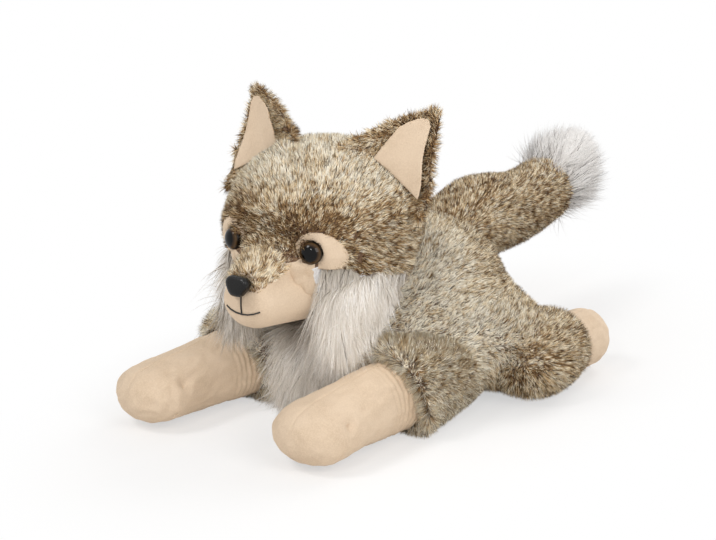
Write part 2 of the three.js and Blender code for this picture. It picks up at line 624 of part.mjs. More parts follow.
const earLining = (grow) => {
  const more = grow / EAR_HEIGHT;
  const share = LINING_SHARE + grow / EAR_HALF_WIDTH;
  const front = EAR_THICKNESS / 2 - LINING_SINK;
  return earLeaf(share, front, LINING_THICKNESS / 2 + grow, LINING_FROM - more, LINING_TO + more);
};
for (const { side, sign } of SIDES) {
  const up = mirrored(EAR_TIP.clone().sub(EAR_BASE), sign).normalize();
  const ahead = at(sign * Math.sin(radians(EAR_TURN)), -Math.cos(radians(EAR_TURN)), 0);
  const back = ahead.addScaledVector(up, -ahead.dot(up)).normalize().negate();
  const ear = limb(wolf, mirrored(EAR_BASE, sign));
  const basis = new THREE.Matrix4().makeBasis(new THREE.Vector3().crossVectors(back, up), back, up);
  ear.quaternion.setFromRotationMatrix(basis);
  piece(ear, `ear_back_${side}`, cut(solid(earOutside(0)), solid(earLining(SEAM_GAP))), fur());
  piece(ear, `ear_lining_${side}`, solid(earLining(0)), velvet());
  for (const turn of [-EAR_FOLD, 0, EAR_FOLD]) {
    headCuts.push(solid(earOutside(EAR_SLIT, 10, 3), turned(ear, at(1, 0, 0), turn)));
  }
}

// Long white cheek fur along the lower sides of the head
for (const { side, sign } of SIDES) {
  const ruffStations = [
    station(mirrored(RUFF_FRONT, sign), RUFF_THICKNESS * 0.7, RUFF_END_HALF_HEIGHT),
    station(mirrored(RUFF_MIDDLE, sign), RUFF_THICKNESS, RUFF_HALF_HEIGHT),
    station(mirrored(RUFF_REAR, sign), RUFF_THICKNESS * 0.9, RUFF_END_HALF_HEIGHT),
  ];
  const form = solid(stuffed(ruffStations, [RUFF_DOME, RUFF_DOME], 0, { around: 12, along: 3 }));
  piece(wolf, `cheek_ruff_${side}`, cut(form, headRoom, muzzleForm(SEAM_GAP, SMALL), belowHead), whiteFur());
}

const headShell = cut(headForm(0), headForm(-COVER, COARSE), belowHead, neckRoom, ...headCuts);
piece(wolf, "head_cover", headShell, fur());
const headFill = cut(headForm(-COVER - SEAM_GAP, COARSE), belowHead, neckRoom, ...headCuts, ...stuffingCuts);
piece(wolf, "head_stuffing", headFill, fibre());

export default wolf;
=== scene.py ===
import math

import bpy
import numpy as np
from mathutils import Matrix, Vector
from mathutils.bvhtree import BVHTree


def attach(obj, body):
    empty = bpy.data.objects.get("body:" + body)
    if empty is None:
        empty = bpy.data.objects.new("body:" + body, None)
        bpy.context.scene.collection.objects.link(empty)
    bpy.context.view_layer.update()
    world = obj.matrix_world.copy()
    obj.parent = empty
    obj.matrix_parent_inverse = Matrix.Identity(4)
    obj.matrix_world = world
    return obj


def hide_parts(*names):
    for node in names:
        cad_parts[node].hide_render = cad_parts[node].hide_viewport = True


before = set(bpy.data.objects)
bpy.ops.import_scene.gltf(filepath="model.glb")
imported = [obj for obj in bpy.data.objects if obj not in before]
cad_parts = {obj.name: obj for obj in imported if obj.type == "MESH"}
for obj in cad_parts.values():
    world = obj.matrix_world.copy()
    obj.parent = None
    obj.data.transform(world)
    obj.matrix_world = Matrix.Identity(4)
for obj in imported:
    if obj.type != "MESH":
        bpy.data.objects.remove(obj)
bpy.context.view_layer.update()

bpy.ops.object.select_all(action="DESELECT")

# The studio: a white table under large soft lamps, seen from the wolf's front left and a little above.
# The table shows as white paper to the camera and keeps the soft shadow of the toy.
AZIMUTH, ELEVATION, DISTANCE = math.radians(35.2), math.radians(16.1), 1.5
AIM = Vector((-0.0103, -0.0523, 0.10285))
FOCAL_PIXELS, WIDTH_PIXELS, SENSOR = 1819.5, 716, 36
VIEW = Vector((
    math.sin(AZIMUTH) * math.cos(ELEVATION),
    -math.cos(AZIMUTH) * math.cos(ELEVATION),
    math.sin(ELEVATION),
))
bpy.ops.object.camera_add(location=AIM + DISTANCE * VIEW, rotation=VIEW.to_track_quat("Z", "Y").to_euler())
camera = bpy.context.object
camera.data.sensor_width = SENSOR
camera.data.lens = SENSOR * FOCAL_PIXELS / WIDTH_PIXELS
camera.data.clip_end = 20
bpy.context.scene.camera = camera
bpy.context.scene.view_settings.view_transform = "Standard"


class Wire:
    """A socket in a material's nodes. Arithmetic on it adds Math nodes, and node() adds any other."""

    def __init__(self, tree, socket=None):
        self.tree = tree
        self.socket = socket

    def node(self, kind, settings, sockets, out=0):
        made = self.tree.nodes.new(kind)
        for name, value in settings.items():
            if name == "stops":
                while len(made.color_ramp.elements) < len(value):
                    made.color_ramp.elements.new(0.5)
                for element, (place, colour) in zip(made.color_ramp.elements, value):
                    element.position = place
                    element.color = colour
            else:
                setattr(made, name, value)
        for name, value in sockets.items():
            if isinstance(value, Wire):
                self.tree.links.new(value.socket, made.inputs[name])
            else:
                made.inputs[name].default_value = value
        return Wire(self.tree, made.outputs[out] if made.outputs else None)

    def math(self, operation, a, b):
        return self.node("ShaderNodeMath", {"operation": operation}, {0: a, 1: b})

    def mix(self, factor, a, b):
        return self.node("ShaderNodeMix", {"data_type": "RGBA"}, {0: factor, 6: a, 7: b}, out=2)

    def ramp(self, low, high):
        settings = {"interpolation_type": "SMOOTHSTEP"}
        return self.node("ShaderNodeMapRange", settings, {"Value": self, "From Min": low, "From Max": high})

    def __add__(self, other):
        return self.math("ADD", self, other)

    def __radd__(self, other):
        return self.math("ADD", other, self)

    def __sub__(self, other):
        return self.math("SUBTRACT", self, other)

    def __rsub__(self, other):
        return self.math("SUBTRACT", other, self)

    def __mul__(self, other):
        return self.math("MULTIPLY", self, other)

    def __rmul__(self, other):
        return self.math("MULTIPLY", other, self)


def finish_of(name):
    """A new material with an empty node tree, and a wire to start from."""
    material = bpy.data.materials.new(name)
    material.use_nodes = True
    material.node_tree.nodes.clear()
    return material, Wire(material.node_tree)


def paint(obj, material):
    """Gives an object one material all over."""
    obj.data.materials.clear()
    obj.data.materials.append(material)


def background_rays(wire):
    """1 for the rays that see the white background: the camera's, mirrored ones and those through glass."""
    kinds = ("Is Camera Ray", "Is Glossy Ray", "Is Transmission Ray")
    seen, mirrored, through = (wire.node("ShaderNodeLightPath", {}, {}, out=kind) for kind in kinds)
    return wire.math("MINIMUM", seen + mirrored + through, 1.0)


SHADOW_OVAL = (0.17, 0.31)
bpy.ops.mesh.primitive_plane_add(size=8)
table = bpy.context.object
table.name = "white_table"
table_white, wire = finish_of("table_white")
paper = wire.node("ShaderNodeBsdfDiffuse", {}, {"Color": (0.86, 0.845, 0.83, 1)})
glow = wire.node("ShaderNodeEmission", {}, {"Color": (1, 1, 1, 1), "Strength": 1.0})
spot = wire.node("ShaderNodeTexCoord", {}, {}, out="Object")
to_oval = (1 / SHADOW_OVAL[0], 1 / SHADOW_OVAL[1], 0)
oval = wire.node("ShaderNodeVectorMath", {"operation": "MULTIPLY"}, {0: spot, 1: to_oval})
far = wire.node("ShaderNodeVectorMath", {"operation": "LENGTH"}, {0: oval}, out="Value")
white = background_rays(wire) * (0.55 + 0.45 * far.ramp(0.85, 1.5))
top = wire.node("ShaderNodeMixShader", {}, {0: white, 1: paper, 2: glow})
wire.node("ShaderNodeOutputMaterial", {}, {"Surface": top})
paint(table, table_white)

AIR_LIGHT = 0.48
world = bpy.data.worlds.new("studio_air")
world.use_nodes = True
world.node_tree.nodes.clear()
wire = Wire(world.node_tree)
strength = AIR_LIGHT + (1 - AIR_LIGHT) * background_rays(wire)
air = wire.node("ShaderNodeBackground", {}, {"Color": (1, 1, 1, 1), "Strength": strength})
wire.node("ShaderNodeOutputWorld", {}, {"Surface": air})
bpy.context.scene.world = world


def lamp(name, place, size, power):
    """A square soft lamp that looks at the middle of the toy."""
    place = Vector(place)
    turn = (place - AIM).to_track_quat("Z", "Y").to_euler()
    bpy.ops.object.light_add(type="AREA", location=place, rotation=turn)
    light = bpy.context.object
    light.name = name
    light.data.size = size
    light.data.energy = power


lamp("key_lamp", (-0.6, -1.4, 1.8), 0.6, 15.5)
lamp("catch_lamp", (0.56, -1.9, 1.34), 0.22, 6.5)
lamp("fill_lamp", (1.8, -0.6, 1.2), 1.2, 18.5)
lamp("back_lamp", (0.2, 1.5, 1.5), 1.2, 15)


# The body: a cover of frosted brown pile fur, sewn from panels and stuffed, its belly pressed on the table.
# Under the fur is a knitted backing, stretched over the roots of the legs, which are sewn to it.
# Where the head, bib and tail are sewn on, no fur grows under them.
SIDES = (("left", 1), ("right", -1))
BACKING_LIFT, STRAND_LIFT = 0.0012, 0.0005
DEEPEST_OVERLAP = 0.012
STRAND_ROOT = 0.0006
LOCK_SIZE, TUFT_SIZE, FLECK_SIZE = 0.005, 0.004, 0.0019


def edit_all(obj, tool, **settings):
    """Runs an edit mode tool on the whole of an object's mesh."""
    bpy.context.view_layer.objects.active = obj
    bpy.ops.object.mode_set(mode="EDIT")
    bpy.ops.mesh.select_all(action="SELECT")
    tool(**settings)
    bpy.ops.object.mode_set(mode="OBJECT")


def grouped(name, nodes):
    """Copies of CAD solids as one new object, with the points merged that their triangles share."""
    bpy.ops.object.select_all(action="DESELECT")
    for node in nodes:
        part = bpy.data.objects.new(name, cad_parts[node].data.copy())
        bpy.context.scene.collection.objects.link(part)
        part.select_set(True)
        bpy.context.view_layer.objects.active = part
    bpy.ops.object.join()
    made = bpy.context.object
    made.name = name
    edit_all(made, bpy.ops.mesh.remove_doubles, threshold=1e-5)
    return made


def trim(obj, point, normal):
    """Cuts away what lies past a plane and closes the cut."""
    edit_all(obj, bpy.ops.mesh.bisect, plane_co=point, plane_no=normal, clear_outer=True, use_fill=True)


def apply(obj, kind, **settings):
    """Adds a modifier and applies it."""
    bpy.ops.object.select_all(action="DESELECT")
    obj.select_set(True)
    bpy.context.view_layer.objects.active = obj
    modifier = obj.modifiers.new(kind.lower(), kind)
    for name, value in settings.items():
        setattr(modifier, name, value)
    bpy.ops.object.modifier_apply(modifier=modifier.name)


def rounded(obj, voxel, relax):
    """Fills an object's inside, gives it an even mesh and smooths its facets away."""
    apply(obj, "REMESH", mode="VOXEL", voxel_size=voxel)
    apply(obj, "SMOOTH", factor=0.5, iterations=relax)
    obj.data.shade_smooth()


def read(obj):
    """Points, normals and triangles of an object's mesh."""
    mesh = obj.data
    mesh.calc_loop_triangles()
    points = np.empty(len(mesh.vertices) * 3)
    mesh.vertices.foreach_get("co", points)
    normals = np.empty(len(mesh.vertices) * 3)
    mesh.vertices.foreach_get("normal", normals)
    triangles = np.empty(len(mesh.loop_triangles) * 3, dtype=np.int32)
    mesh.loop_triangles.foreach_get("vertices", triangles)
    return points.reshape(-1, 3), normals.reshape(-1, 3), triangles.reshape(-1, 3)


def write(obj, points):
    """Moves an object's points to new places."""
    obj.data.vertices.foreach_set("co", points.ravel())
    obj.data.update()


def lift(points, least):
    """Raises points to a least height over the table."""
    points[..., 2] = np.maximum(points[..., 2], least)


def smoothstep(low, high, value):
    """0 below low, 1 above high and an S curve between them."""
    t = np.clip((value - low) / (high - low), 0, 1)
    return t * t * (3 - 2 * t)


def unit(vectors):
    """Vectors at length 1."""
    return vectors / np.maximum(np.linalg.norm(vectors, axis=-1, keepdims=True), 1e-9)


def room_above(points, normals, beside, height=0.003, clear=0.002):
    """How freely fur can stand at each point: 0 where another CAD solid lies on it, 1 in the open."""
    corners, faces = [], []
    for node in beside:
        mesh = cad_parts[node].data
        first = len(corners)
        corners.extend(v.co for v in mesh.vertices)
        faces.extend([first + i for i in p.vertices] for p in mesh.polygons)
    tree = BVHTree.FromPolygons(corners, faces)
    free = np.empty(len(points))
    for i, (point, normal) in enumerate(zip(points, normals)):
        probe = Vector(point + normal * height)
        spot, face_normal, _, gap = tree.find_nearest(probe)
        inside = gap < DEEPEST_OVERLAP and (probe - spot).dot(face_normal) < 0
        free[i] = -gap if inside else gap
    return smoothstep(-0.002, clear, free)


def give_room(skin, room):
    """Keeps the room for fur at each point with a skin's mesh."""
    kept = skin.data.attributes.get("room") or skin.data.attributes.new("room", "FLOAT", "POINT")
    kept.data.foreach_set("value", room)


def room_on(skin):
    """The room for fur that give_room kept."""
    room = np.empty(len(skin.data.vertices))
    skin.data.attributes["room"].data.foreach_get("value", room)
    return room


def bridge_over(carrier, limb, hip, reach, ceiling, keep, press):
    """The cover stretched from one stuffed form to the round root of another: the hull of both near the hip.
    Ceiling is how high it climbs, keep picks the limb's root, and press is the share of its height left."""
    sides = []
    for node in (carrier, limb):
        cloth = grouped(f"{limb}_bridge", [node])
        points, _, _ = read(cloth)
        spare = np.linalg.norm(points - hip, axis=1) > reach
        if node == carrier:
            spare |= points[:, 2] > ceiling
        else:
            spare |= ~keep(points)
            points[:, 2] *= press
        write(cloth, points)
        bpy.ops.object.mode_set(mode="EDIT")
        bpy.ops.mesh.select_all(action="DESELECT")
        bpy.ops.object.mode_set(mode="OBJECT")
        cloth.data.vertices.foreach_set("select", spare)
        bpy.ops.object.mode_set(mode="EDIT")
        bpy.ops.mesh.delete(type="VERT")
        bpy.ops.object.mode_set(mode="OBJECT")
        sides.append(cloth)
    sides[0].select_set(True)
    bpy.ops.object.join()
    edit_all(sides[1], bpy.ops.mesh.convex_hull)
    return sides[1]


def fur_backing(name, nodes, beside, voxel=0.005, relax=6, sink=0.006, cuts=(), hull=False, bridges=()):
    """The closed skin that fur stands on: CAD solids smoothed, and sunk by the pile where the fur has room.
    Beside names the solids that take that room. Bridges are joined to the skin, hull wraps it into one round
    form, and cuts are planes that end it."""
    skin = grouped(name, nodes)
    if bridges:
        for cloth in bridges:
            cloth.select_set(True)
        bpy.ops.object.join()
    if hull:
        edit_all(skin, bpy.ops.mesh.convex_hull)
    for point, normal in cuts:
        trim(skin, point, normal)
    rounded(skin, voxel, relax)
    points, normals, _ = read(skin)
    points -= normals * (sink * room_above(points, normals, beside, height=0.005, clear=0.006))[:, None]
    lift(points, BACKING_LIFT)
    give_room(skin, room_above(points, normals, beside))
    write(skin, points)
    return skin


def lumps(points, cell, seed):
    """Three smooth random values in -1 to 1 at each point, in lumps about one cell wide."""
    values = np.random.default_rng(seed).uniform(-1, 1, (4096, 3))
    corner = np.floor(points / cell).astype(np.int64)
    share = points / cell - corner
    share = share * share * (3 - 2 * share)
    total = np.zeros((len(points), 3))
    for step in np.ndindex(2, 2, 2):
        weight = np.prod(np.where(np.array(step) == 1, share, 1 - share), axis=1)
        x, y, z = (corner + step).T
        hashed = (x * 73856093 ^ y * 19349663 ^ z * 83492791) & 4095
        total += weight[:, None] * values[hashed]
    return total


def strand_mesh(name, verts, pattern, place, facing):
    """One mesh of like strands, from their points, the triangles of one strand, the points' places in the
    UV map and the strands' normals."""
    count, steps, _ = verts.shape
    faces = (np.arange(count)[:, None, None] * steps + np.array(pattern)[None]).reshape(-1)
    mesh = bpy.data.meshes.new(name)
    mesh.vertices.add(count * steps)
    mesh.vertices.foreach_set("co", verts.ravel())
    mesh.loops.add(len(faces))
    mesh.loops.foreach_set("vertex_index", faces.astype(np.int32))
    mesh.polygons.add(len(faces) // 3)
    mesh.polygons.foreach_set("loop_start", np.arange(0, len(faces), 3, dtype=np.int32))
    mesh.update(calc_edges=True)
    layer = mesh.uv_layers.new(name="OFBake")
    layer.data.foreach_set("uv", place.reshape(-1, 2)[faces].ravel())
    shading = mesh.attributes.new("custom_normal", "FLOAT_VECTOR", "POINT")
    shading.data.foreach_set("vector", np.repeat(facing[:, None], steps, axis=1).ravel())
    return mesh


def brush(name, skin, material, per_mm2, length, width, lean, comb, tone, seed, segments=1, sag=0.0, curl=0.8,
          loose=1.0, shear=lambda root: 1.0):
    """Fur on a skin: tapering strands that lie along comb, each with its own tone from root to tip.
    Lean is the angle from the skin's normal at the root and at the tip, in degrees, and loose is how unevenly
    they lean. Sag draws them down towards their tips, and curl turns them apart in small locks.
    Shear gives the share of the length that is left at a root, and 0 where no fur grows."""
    rng = np.random.default_rng(seed)
    points, normals, triangles = read(skin)
    room = room_on(skin)

    # Roots, spread by area over the places with room, and fewer on the underside.
    a, b, c = (points[triangles[:, i]] for i in range(3))
    area = np.linalg.norm(np.cross(b - a, c - a), axis=1) / 2
    underneath = normals[triangles].mean(axis=1)[:, 2] < -0.85
    weight = area * np.where(underneath, 0.4, 1.0) * smoothstep(0.1, 0.5, room[triangles].mean(axis=1))
    count = int(per_mm2 * 1e6 * weight.sum())
    picked = triangles[rng.choice(len(triangles), count, p=weight / weight.sum())]
    p, q = np.sqrt(rng.random(count)), rng.random(count)
    share = np.stack([1 - p, p * (1 - q), p * q], axis=1)
    root = np.einsum("ij,ijk->ik", share, points[picked])
    grown = np.broadcast_to(shear(root), count) > 0
    picked, share, root, count = picked[grown], share[grown], root[grown], int(grown.sum())
    up = unit(np.einsum("ij,ijk->ik", share, normals[picked]))
    free = np.einsum("ij,ij->i", share, room[picked])

    # Spines, stepped from the root to the tip, with a point on each side that tapers off.
    along = unit(comb(root, up))
    lie = smoothstep(0.0, 0.5, np.linalg.norm(np.cross(along, up), axis=1))
    along += curl * lumps(root, LOCK_SIZE, seed + 1) + np.clip(0.25 * rng.normal(size=(count, 3)), -0.4, 0.4)
    along = unit(along - up * np.einsum("ij,ij->i", along, up)[:, None])
    spread = loose * (rng.normal(0, 10, count) + 12 * lumps(root, TUFT_SIZE, seed + 2)[:, 0])
    reach = length * shear(root) * (0.7 + 0.3 * free) * rng.uniform(0.7, 1.15, count)
    roll = unit(up + 0.7 * rng.normal(size=(count, 3)))
    roll *= np.where(np.einsum("ij,ij->i", roll, up) < 0, -1, 1)[:, None]
    steps = 2 * segments + 1
    spine = root - up * STRAND_ROOT
    verts = np.empty((count, steps, 3))
    for k in range(segments + 1):
        middle = (k + 0.5) / segments
        tilt = np.radians(np.clip(lie * (lean[0] + (lean[1] - lean[0]) * middle) + spread, 5, 88))[:, None]
        heading = np.cos(tilt) * up + np.sin(tilt) * along
        heading = unit(heading - np.array([0, 0, sag * middle]))
        side = unit(np.cross(heading, roll)) * (width / 2 * (1 - (k / segments) ** 1.8))
        if k < segments:
            verts[:, 2 * k] = spine - side
            verts[:, 2 * k + 1] = spine + side
        else:
            verts[:, 2 * k] = spine
        spine = spine + heading * (reach / segments)[:, None]
    lift(verts, STRAND_LIFT)
    pattern = []
    for k in range(segments - 1):
        pattern += [(2 * k, 2 * k + 1, 2 * k + 3), (2 * k, 2 * k + 3, 2 * k + 2)]
    pattern.append((2 * segments - 2, 2 * segments - 1, 2 * segments))

    # Tones, which the material reads from the UV map with the place between root and tip.
    chance = 1.9 * lumps(root, FLECK_SIZE, seed + 3)[:, 0] + 0.6 * rng.normal(size=count)
    shade = np.clip(tone(root, up, chance), 0.01, 0.99)
    map_u = shade[:, None] + np.array([-0.004, 0.004] * segments + [0])
    map_v = np.broadcast_to(np.arange(steps) // 2 / segments, map_u.shape)
    facing = unit(up + 0.25 * rng.normal(size=(count, 3)))
    mesh = strand_mesh(name, verts, pattern, np.stack([map_u, map_v], axis=-1), facing)
    fur = bpy.data.objects.new(name, mesh)
    bpy.context.scene.collection.objects.link(fur)
    # The strands cast no shadow: the dark roots in their material paint the shade among them.
    fur.visible_shadow = False
    paint(fur, material)
    return fur


def combed(x, y, z):
    """A comb for brush that lays all the fur one way."""
    return lambda root, up: np.array([x, y, z]) + 0 * root


def srgb(red, green, blue):
    """An opaque colour as read from a picture, 0 to 255, in the linear values that nodes take."""
    shares = (red / 255, green / 255, blue / 255)
    return (*(c / 12.92 if c <= 0.04 else ((c + 0.055) / 1.055) ** 2.4 for c in shares), 1)


def speckle(wire, scale, detail=2.0, rough=0.5):
    """Noise by place on a piece. A larger scale gives finer specks."""
    spot = wire.node("ShaderNodeTexCoord", {}, {}, out="Object")
    return wire.node("ShaderNodeTexNoise", {}, {
        "Vector": spot, "Scale": scale, "Detail": detail, "Roughness": rough,
    })


def coat(wire, sockets):
    """Ends a material's nodes in one surface with these sockets."""
    surface = wire.node("ShaderNodeBsdfPrincipled", {}, sockets)
    wire.node("ShaderNodeOutputMaterial", {}, {"Surface": surface})


def fur_finish(name, root, middle, tips, rough):
    """Pile fur: darkest at the root, with a tip colour that goes by the strand's own tone. The dark root is
    the fur's own base colour, deepened as painted shade among the strands, which cast no shadow.
    """
    material, wire = finish_of(name)
    place = wire.node("ShaderNodeUVMap", {"uv_map": "OFBake"}, {})
    tone = wire.node("ShaderNodeSeparateXYZ", {}, {0: place}, out="X")
    height = wire.node("ShaderNodeSeparateXYZ", {}, {0: place}, out="Y")
    tip = wire.node("ShaderNodeValToRGB", {"stops": tips}, {0: tone})
    pale = wire.mix(tone.ramp(0.4, 1.0) * 0.7, middle, tip)
    shaft = wire.mix(height.ramp(0.0, 0.45), root, pale)
    colour = wire.mix(height.ramp(0.25, 0.75), shaft, tip)
    coat(wire, {"Base Color": colour, "Roughness": rough, "Specular IOR Level": 0.25})
    return material


# Dark brown roots: the fur's own base, deepened as painted shade among the strands.
frosted_fur = fur_finish("frosted_fur", srgb(72, 47, 27), srgb(172, 136, 90), [
    (0.0, srgb(62, 41, 27)),
    (0.2, srgb(150, 114, 76)),
    (0.36, srgb(228, 199, 152)),
    (0.58, srgb(252, 237, 205)),
    (1.0, srgb(255, 248, 231)),
], 0.75)

knit_backing, wire = finish_of("knit_backing")
grain = speckle(wire, 420.0, detail=3.0)
knit = wire.mix(grain.ramp(0.35, 0.7), srgb(84, 60, 44), srgb(132, 104, 78))
weave = wire.node("ShaderNodeBump", {}, {"Strength": 0.5, "Distance": 0.001, "Height": grain})
coat(wire, {"Base Color": knit, "Roughness": 0.95, "Normal": weave})

PAWS = [f"{paw}_{side}" for paw in ("front_paw", "hind_foot") for side in ("left", "right")]
HAUNCH_PRESS = 0.9
HIPS = {"left": np.array([0.114, 0.016, 0.045]), "right": np.array([-0.106, 0.016, 0.045])}
SHOULDERS = {"left": np.array([0.080, -0.052, 0.033]), "right": np.array([-0.062, -0.056, 0.033])}
bridges = []
for side, _ in SIDES:
    bridges.append(bridge_over(
        "body_cover", f"hind_leg_sleeve_{side}", HIPS[side], reach=0.105, ceiling=0.088,
        keep=lambda points: points[:, 1] < HIPS[side][1] + 0.004, press=HAUNCH_PRESS,
    ))
    bridges.append(bridge_over(
        "body_cover", f"front_leg_sleeve_{side}", SHOULDERS[side], reach=0.075, ceiling=0.2,
        keep=lambda points: points[:, 1] > SHOULDERS[side][1] - 0.008, press=1.0,
    ))
body = fur_backing(
    "body_backing", ["body_cover", "body_stuffing"],
    PAWS + ["tail_cover", "chest_bib", "head_cover", "neck_stuffing"], bridges=bridges,
)
paint(body, knit_backing)
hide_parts("body_cover", "body_stuffing")
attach(body, "torso")


def body_tone(root, up, chance):
    """Mottled brown, paler over the shoulders and upper flank: partly the fur's own pale saddle and partly
    painted light there, and a little paler where the skin faces up, as painted light from above.
    """
    patches = lumps(root, 0.010, 40)[:, 0] + 0.6 * lumps(root, 0.028, 41)[:, 0]
    # Painted light: the fur is paler high on the front of the body and where its skin faces up.
    saddle_and_painted_light = smoothstep(0.0, 0.07, root[:, 2]) * (1 - smoothstep(-0.04, 0.05, root[:, 1]))
    return 0.29 + 0.61 * saddle_and_painted_light + 0.05 * up[:, 2] + 0.1 * patches + 0.34 * chance


for side, sign in SIDES:
    fur = brush(
        f"body_fur_{side}", body, frosted_fur, per_mm2=2.6, length=0.0070, width=0.0008, lean=(8, 42),
        comb=combed(0, 1, -0.4), tone=body_tone, seed=100 + sign,
        shear=lambda root: root[:, 0] * sign > 0,
    )
    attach(fur, "torso")


# The bib: a panel of long white fur over the chest, on a pale knitted backing.
# It is sewn into the front of the body under the neck, and its fur hangs down between the front legs.
# The white fur is grey at the root and in the middle as painted shade, for the bib, ruffs and cheeks that lie
# under the head.
white_fur = fur_finish("white_fur", srgb(184, 174, 160), srgb(210, 202, 191), [
    (0.0, srgb(190, 180, 165)),
    (0.5, srgb(220, 212, 202)),
    (1.0, srgb(250, 247, 243)),
], 0.6)
white_backing, wire = finish_of("white_backing")
grain = speckle(wire, 400.0, detail=3.0)
knit = wire.mix(grain.ramp(0.35, 0.7), srgb(206, 202, 200), srgb(232, 230, 228))
coat(wire, {"Base Color": knit, "Roughness": 0.95})


def white_tone(root, up, chance):
    """White with soft darker locks."""
    return 0.5 + 0.25 * lumps(root, 0.010, 50)[:, 0] + 0.22 * chance


bib = fur_backing("bib_backing", ["chest_bib"], ["front_leg_sleeve_left", "front_leg_sleeve_right"],
                  voxel=0.003, sink=0.003)
paint(bib, white_backing)
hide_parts("chest_bib")
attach(bib, "torso")
fur = brush(
    "bib_fur", bib, white_fur, per_mm2=2.4, length=0.044, width=0.0006, lean=(52, 84),
    comb=combed(0, -0.1, -1), tone=white_tone, seed=210, segments=4, sag=0.3, curl=0.25,
    shear=lambda root: 1 - 0.5 * smoothstep(0.026, 0.045, np.abs(root[:, 0])),
)
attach(fur, "torso")


# The neck: a firm ball of stuffing in the body's fur, under the crease where the head is sewn on.
# A turned or lifted head bares it, so fur stands all over it: only the far nose counts as beside it.
neck = fur_backing("neck_backing", ["neck_stuffing"], ["nose"], sink=0.003)
paint(neck, knit_backing)
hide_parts("neck_stuffing")
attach(neck, "neck")
fur = brush(
    "neck_fur", neck, frosted_fur, per_mm2=2.4, length=0.006, width=0.0008, lean=(20, 50),
    comb=combed(0, 1, -0.2), tone=body_tone, seed=220,
)
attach(fur, "neck")


# The head: a stuffed skull in the same frosted fur, which flows back from the nose, palest on the crown, where
# light from above is painted into its tone.
# Below the cheek line its panels are of white fur, and in front velvet runs up to the eye patches.
# The backing sinks clear of the ruffs too, but its fur may stand right up to them.
ON_FACE = [
    "eye_patch_left", "eye_patch_right", "muzzle_cover", "snout_gusset", "ear_back_left", "ear_back_right",
]
head = fur_backing(
    "head_backing", ["head_cover"], ON_FACE + ["cheek_ruff_left", "cheek_ruff_right"],
    voxel=0.0045, hull=True,
)
points, normals, _ = read(head)
give_room(head, room_above(points, normals, ON_FACE))
paint(head, knit_backing)
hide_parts("head_cover", "head_stuffing")
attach(head, "head")

NOSE_SPOT = np.array([0, -0.235, 0.125])
BROW_SPOT = np.array([0.034, 0.176, 0.172])
CHEEK_LINE, CHEEK_BACK, CHEEK_INNER = 0.136, -0.108, 0.034
FRONT_HIGHER, FRONT_WIDER = 0.010, 0.005
FUR_LAP, BACKING_LAP = 0.004, 0.003
VELVET_TOP, VELVET_BACK, VELVET_OUTER = 0.148, -0.158, 0.040
SNOUT_SEAM_Y, SNOUT_SEAM_Z, SNOUT_SEAM_RISE = -0.222, 0.124, 0.6


def head_tone(root, up, chance):
    """Mottled brown, dark on the brows over both eyes, and paler towards the crown as painted light from
    above.
    """
    patches = lumps(root, 0.008, 60)[:, 0] + 0.5 * lumps(root, 0.022, 61)[:, 0]
    # The paler crown is painted light from above.
    crown = smoothstep(0.165, 0.212, root[:, 2])
    brow = 1 - smoothstep(0.012, 0.03, np.linalg.norm(np.abs(root) - BROW_SPOT, axis=1))
    return 0.33 + 0.46 * crown - 0.3 * brow + 0.17 * patches + 0.34 * chance


def off_the_nose(root, up):
    """A comb for brush that lays the fur away from the nose."""
    return root - NOSE_SPOT


def white_cheek(points, lap=0.0):
    """Where the head's panels are of the white fur: below the cheek line, from the muzzle to the neck.
    Lap is how far the brown fur reaches down over their edge."""
    front = 1 - smoothstep(-0.165, -0.145, points[:, 1])
    below = points[:, 2] < CHEEK_LINE + FRONT_HIGHER * front - lap
    outside = np.abs(points[:, 0]) > CHEEK_INNER + FRONT_WIDER * front
    return below & outside & (points[:, 1] < CHEEK_BACK - lap)


def bare_cheek(points):
    """Where the muzzle's velvet runs up to the eye patches."""
    in_front = (points[:, 2] < VELVET_TOP) & (points[:, 1] < VELVET_BACK)
    return in_front & (np.abs(points[:, 0]) <= VELVET_OUTER)


def above_snout_seam(points):
    """How far above the seam that runs from the nose up to the inner corner of each eye."""
    return points[:, 2] - (SNOUT_SEAM_Z + (points[:, 1] - SNOUT_SEAM_Y) * SNOUT_SEAM_RISE)


for side, sign in SIDES:
    fur = brush(
        f"head_fur_{side}", head, frosted_fur, per_mm2=2.7, length=0.0070, width=0.0008, lean=(10, 46),
        comb=off_the_nose, tone=head_tone, seed=300 + sign,
        shear=lambda root: (root[:, 0] * sign > 0) & ~white_cheek(root, FUR_LAP) & ~bare_cheek(root),
    )
    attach(fur, "head")


# The muzzle: a stuffed cushion of tan velvet under the snout, sewn into the front of the head.
# A strip of frosted fur is sewn along its top, from between the eyes down to the nose.
velvet, wire = finish_of("velvet")
cloud = speckle(wire, 38.0, detail=4.0, rough=0.6)
nap = speckle(wire, 900.0)
tan = wire.mix(cloud.ramp(0.3, 0.7), srgb(202, 179, 153), srgb(213, 191, 166))
tan = wire.mix(nap.ramp(0.3, 0.75) * 0.5, tan, srgb(224, 203, 178))
fuzz = wire.node("ShaderNodeBump", {}, {"Strength": 0.25, "Distance": 0.0006, "Height": nap})
coat(wire, {
    "Base Color": tan, "Roughness": 0.9, "Specular IOR Level": 0.15, "Sheen Weight": 0.25,
    "Sheen Roughness": 0.45, "Sheen Tint": srgb(255, 240, 220), "Normal": fuzz,
})

VELVET_RISE, STRIP_SINK = 0.007, 0.0035
points, normals, _ = read(head)
write(head, points + normals * (VELVET_RISE * bare_cheek(points))[:, None])
head.data.materials.append(velvet)
head.data.materials.append(white_backing)
for face in head.data.polygons:
    centre = np.array([face.center])
    face.material_index = 2 if white_cheek(centre, BACKING_LAP)[0] else 1 if bare_cheek(centre)[0] else 0

